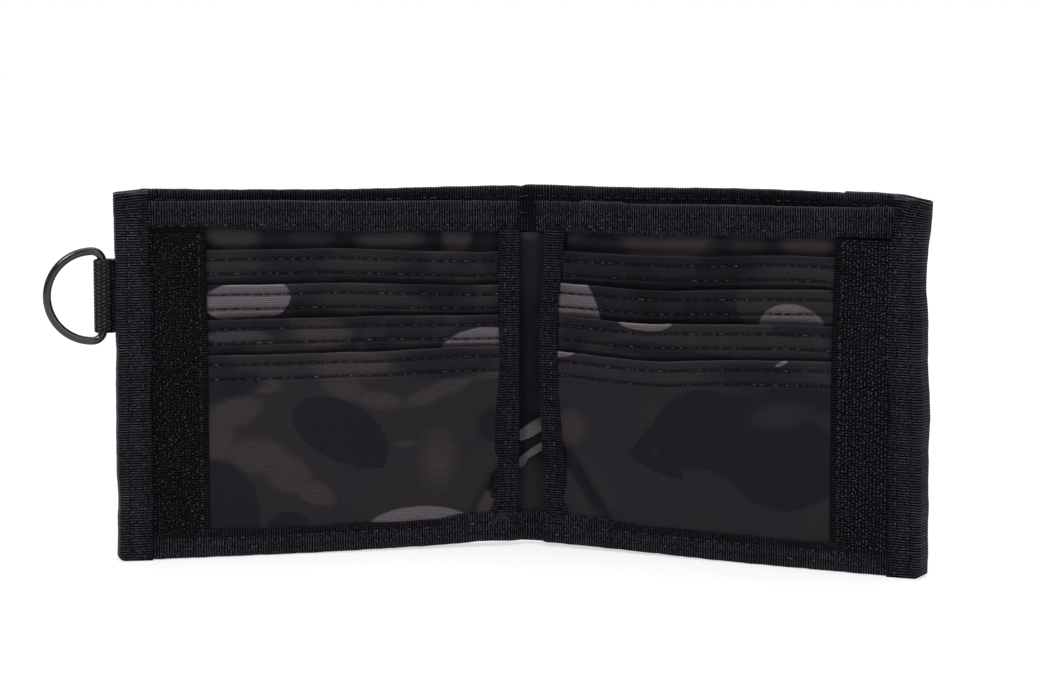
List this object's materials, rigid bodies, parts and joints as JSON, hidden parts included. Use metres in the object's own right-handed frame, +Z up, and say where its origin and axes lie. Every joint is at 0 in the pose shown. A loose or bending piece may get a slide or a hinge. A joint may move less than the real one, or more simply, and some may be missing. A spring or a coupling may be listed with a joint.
{
  "type": "bifold wallet",
  "caption": "Camouflage nylon bifold wallet standing open, with stacked card pockets, a note pocket behind, hook-and-loop closing strips and a metal D-ring on a webbing tab.",
  "frame": {"origin": "middle of the spine's lower edge, on the surface it stands on", "axes": "+Z up, +X to the right along the open wallet, -Y out of the card side; both halves stand 20 degrees forward of flat"},
  "size_m": [0.2502, 0.0475, 0.105],
  "materials": {
    "shell_cloth": "dark camouflage nylon, fine ribbed weave",
    "divider_cloth": "dark camouflage nylon, fine ribbed weave",
    "pocket_cloth": "dark camouflage nylon, fine ribbed weave",
    "grosgrain_tape": "matte ribbed grosgrain binding",
    "loop_pile": "black looped pile",
    "hook_tape": "black hook tape with a slight glint",
    "webbing": "coarse black webbing",
    "black_nickel": "glossy black nickel plating"
  },
  "bodies": {
    "spine": {"spine_shell": "shell_cloth", "spine_divider": "divider_cloth", "spine_shell_top_tape": "grosgrain_tape", "spine_divider_top_tape": "grosgrain_tape", "spine_bottom_tape": "grosgrain_tape"},
    "left_half": {"left_shell": "shell_cloth", "left_divider": "divider_cloth", "left_shell_top_tape": "grosgrain_tape", "left_divider_top_tape": "grosgrain_tape", "left_bottom_tape": "grosgrain_tape", "left_edge_tape": "grosgrain_tape", "left_centre_tape": "grosgrain_tape", "left_card_pocket_1": "pocket_cloth", "left_card_pocket_2": "pocket_cloth", "left_card_pocket_3": "pocket_cloth", "left_card_pocket_4": "pocket_cloth", "left_loop_strip": "loop_pile", "ring_tab": "webbing"},
    "right_half": {"right_shell": "shell_cloth", "right_divider": "divider_cloth", "right_shell_top_tape": "grosgrain_tape", "right_divider_top_tape": "grosgrain_tape", "right_bottom_tape": "grosgrain_tape", "right_edge_tape": "grosgrain_tape", "right_centre_tape": "grosgrain_tape", "right_card_pocket_1": "pocket_cloth", "right_card_pocket_2": "pocket_cloth", "right_card_pocket_3": "pocket_cloth", "right_card_pocket_4": "pocket_cloth", "right_hook_strip": "hook_tape"},
    "ring": {"d_ring": "black_nickel"}
  },
  "joints": [
    {"name": "left_fold", "type": "hinge", "parent": "spine", "child": "left_half", "pos_m": [-0.004, -0.00225, 0], "axis": [0, 0, 1], "range_deg": [-20, 70]},
    {"name": "right_fold", "type": "hinge", "parent": "spine", "child": "right_half", "pos_m": [0.004, -0.00225, 0], "axis": [0, 0, -1], "range_deg": [-20, 70]},
    {"name": "ring_swing", "type": "hinge", "parent": "left_half", "child": "ring", "pos_m": [-0.11869, -0.03771, 0.0753], "axis": [0, 0, 1], "range_deg": [-160, 90]}
  ]
}
